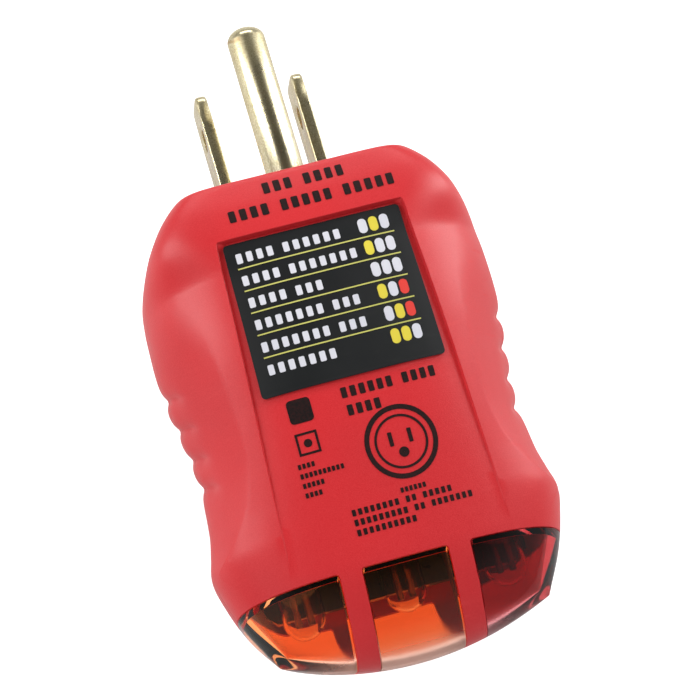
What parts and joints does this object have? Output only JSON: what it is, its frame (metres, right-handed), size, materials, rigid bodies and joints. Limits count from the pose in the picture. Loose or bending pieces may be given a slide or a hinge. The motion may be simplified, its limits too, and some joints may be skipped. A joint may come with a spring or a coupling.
{
  "type": "outlet tester plug",
  "caption": "Hand-held grounded plug that tests a wall outlet, with indicator windows, a printed legend plate, thumb scoops and a test button on the back.",
  "frame": {"origin": "on the flat plug face, midway between the two flat blades", "axes": "+Y points out of the plug face along the prongs, +Z is the side with the legend plate, +X is to the right for someone who reads the plate"},
  "size_m": [0.0438, 0.082, 0.0277],
  "materials": {
    "red_shell": "moulded, with a fine matt texture",
    "amber_lens": "clear tinted, polished",
    "red_lens": "clear tinted, polished",
    "legend_plate": "printed, satin",
    "prongs": "bright plated",
    "black_plastic": "moulded",
    "circuit_board": "laminate with a green mask",
    "lamp_glass": "clear",
    "resistor_tan": "baked coating",
    "resistor_green": "baked coating",
    "wire_black": "satin",
    "wire_white": "satin",
    "wire_green": "satin",
    "contact_metal": "bright",
    "button_black": "satin",
    "spring_steel": "drawn wire",
    "screws": "zinc plated"
  },
  "bodies": {
    "casing": {"front_shell": "red_shell", "back_shell": "red_shell", "lens_left": "amber_lens", "lens_centre": "amber_lens", "lens_right": "red_lens", "label_plate": "legend_plate", "hot_blade": "prongs", "neutral_blade": "prongs", "ground_pin": "prongs", "prong_carrier": "black_plastic", "circuit_board": "circuit_board", "lamp_left": "lamp_glass", "lamp_centre": "lamp_glass", "lamp_right": "lamp_glass", "lamp_shroud": "black_plastic", "resistor_left": "resistor_tan", "resistor_centre": "resistor_tan", "resistor_right": "resistor_tan", "test_resistor": "resistor_green", "hot_wire": "wire_black", "neutral_wire": "wire_white", "ground_wire": "wire_green", "contact_hot": "contact_metal", "contact_ground": "contact_metal", "button_spring": "spring_steel", "screw_1": "screws", "screw_2": "screws", "screw_3": "screws", "screw_4": "screws"},
    "button": {"test_button": "button_black", "contact_bridge": "contact_metal"}
  },
  "joints": [
    {"name": "button_press", "type": "slide", "parent": "casing", "child": "button", "axis": [0, 0, 1], "range_m": [0, 0.0015], "stiffness_N_per_m": 1500, "deforming": ["button_spring"]}
  ]
}
